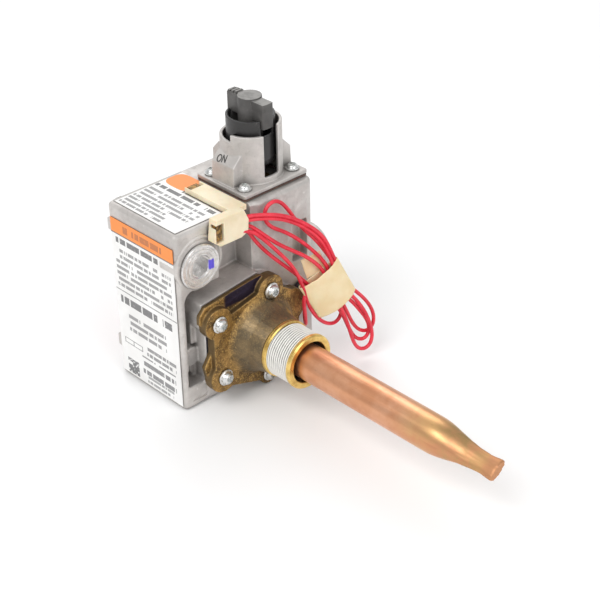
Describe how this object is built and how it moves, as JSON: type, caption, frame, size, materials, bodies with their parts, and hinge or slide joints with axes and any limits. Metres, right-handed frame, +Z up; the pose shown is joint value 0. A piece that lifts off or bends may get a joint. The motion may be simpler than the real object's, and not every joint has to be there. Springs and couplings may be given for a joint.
{
  "type": "water heater gas valve",
  "caption": "Cast gas control valve with a turning and pressing gas cock knob, brass threaded shank, copper immersion tube, temperature dial and a hank of red leads.",
  "frame": {"origin": "centre of the cast body's flat bottom face", "axes": "+X along the immersion tube into the tank, +Z up the gas cock's axis; -Y is the labelled side and -X the dial side"},
  "size_m": [0.2203, 0.1037, 0.136],
  "materials": {
    "cast_aluminium": "matt as-cast with light grain",
    "zinc_screw": "bright zinc plate",
    "flange_brass": "aged and stained with bright worn edges",
    "brass": "machined",
    "copper": "satin copper with heat tint at the pinched end",
    "steel": "plain bright steel",
    "plug_metal": "turned, with fine rings",
    "sleeve_plastic": "semi-gloss black",
    "knob_plastic": "scuffed charcoal",
    "dial_plastic": "satin red",
    "rubber": "matt black",
    "fibre_gasket": "matt reddish brown",
    "label": "white with an orange band and grey rules",
    "nylon": "cream, slightly glossy",
    "red_insulation": "glossy red",
    "masking_tape": "matt crepe"
  },
  "bodies": {
    "valve": {"valve_housing": "cast_aluminium", "cock_tower": "cast_aluminium", "front_cover": "cast_aluminium", "tower_screw_front": "zinc_screw", "tower_screw_right": "zinc_screw", "tower_screw_left": "zinc_screw", "tower_screw_back": "zinc_screw", "flange_screw_upper_left": "zinc_screw", "flange_screw_upper_right": "zinc_screw", "flange_screw_lower_left": "zinc_screw", "flange_screw_lower_right": "zinc_screw", "cover_screw_lower_left": "zinc_screw", "cover_screw_lower_right": "zinc_screw", "cover_screw_upper_left": "zinc_screw", "cover_screw_upper_right": "zinc_screw", "shank_flange": "flange_brass", "thermal_cutoff": "brass", "terminal_front": "brass", "terminal_rear": "brass", "safety_magnet": "brass", "immersion_tube": "copper", "safety_spring": "steel", "thermostat_rod": "steel", "lever_pin": "steel", "main_valve_spring": "steel", "regulator_spring": "steel", "inlet_screen": "steel", "regulator_plug": "plug_metal", "flange_gasket": "rubber", "regulator_diaphragm": "rubber", "lead_grommet": "rubber", "tower_gasket": "fibre_gasket", "side_label": "label", "top_label": "label", "lead_connector": "nylon", "lead_top_outer": "red_insulation", "lead_top_inner": "red_insulation", "lead_turn": "red_insulation", "lead_middle": "red_insulation", "lead_low_outer": "red_insulation", "lead_low_inner": "red_insulation", "lead_return": "red_insulation", "lead_hank": "red_insulation", "tape_wrap": "masking_tape"},
    "gas_cock": {"knob_sleeve": "sleeve_plastic", "cock_core": "brass", "knob_spring": "steel"},
    "cock_knob": {"gas_cock_knob": "knob_plastic", "pilot_stem": "steel"},
    "safety_valve": {"safety_valve_disc": "rubber"},
    "dial": {"temperature_dial": "dial_plastic", "dial_shaft": "brass"},
    "lever": {"snap_lever": "steel"},
    "main_valve": {"main_valve_disc": "rubber"},
    "regulator_valve": {"regulator_plate": "steel"},
    "adjuster": {"regulator_adjuster": "brass"}
  },
  "joints": [
    {"name": "cock_turn", "type": "hinge", "parent": "valve", "child": "gas_cock", "pos_m": [0.0052, 0.0214, 0.1], "axis": [0, 0, 1], "range_deg": [-90, 90]},
    {"name": "knob_press", "type": "slide", "parent": "gas_cock", "child": "cock_knob", "axis": [0, 0, -1], "range_m": [0, 0.0035], "stiffness_N_per_m": 400, "springref_m": -0.004, "deforming": ["knob_spring"]},
    {"name": "safety_open", "type": "slide", "parent": "valve", "child": "safety_valve", "axis": [0, 0, -1], "range_m": [0, 0.0035], "stiffness_N_per_m": 100, "springref_m": -0.003, "deforming": ["safety_spring"]},
    {"name": "dial_turn", "type": "hinge", "parent": "valve", "child": "dial", "pos_m": [-0.0283, -0.0026, 0.0306], "axis": [-1, 0, 0], "range_deg": [-135, 135]},
    {"name": "lever_swing", "type": "hinge", "parent": "valve", "child": "lever", "pos_m": [0.01, -0.0026, 0.0415], "axis": [0, 1, 0], "range_deg": [0, 5.4]},
    {"name": "main_valve_open", "type": "slide", "parent": "valve", "child": "main_valve", "axis": [-1, 0, 0], "range_m": [0, 0.002], "stiffness_N_per_m": 150, "springref_m": -0.003, "deforming": ["main_valve_spring"]},
    {"name": "regulator_float", "type": "slide", "parent": "valve", "child": "regulator_valve", "axis": [1, 0, 0], "range_m": [-0.001, 0.001], "stiffness_N_per_m": 200, "deforming": ["regulator_spring"]},
    {"name": "adjuster_turn", "type": "hinge", "parent": "valve", "child": "adjuster", "pos_m": [0.0131, -0.0295, 0.075], "axis": [1, 0, 0], "range_deg": [-360, 360]}
  ],
  "couplings": [
    {"joint": "safety_open", "follows": "knob_press", "ratio": 1},
    {"joint": "lever_swing", "follows": "main_valve_open", "rad_per_m": 47}
  ]
}
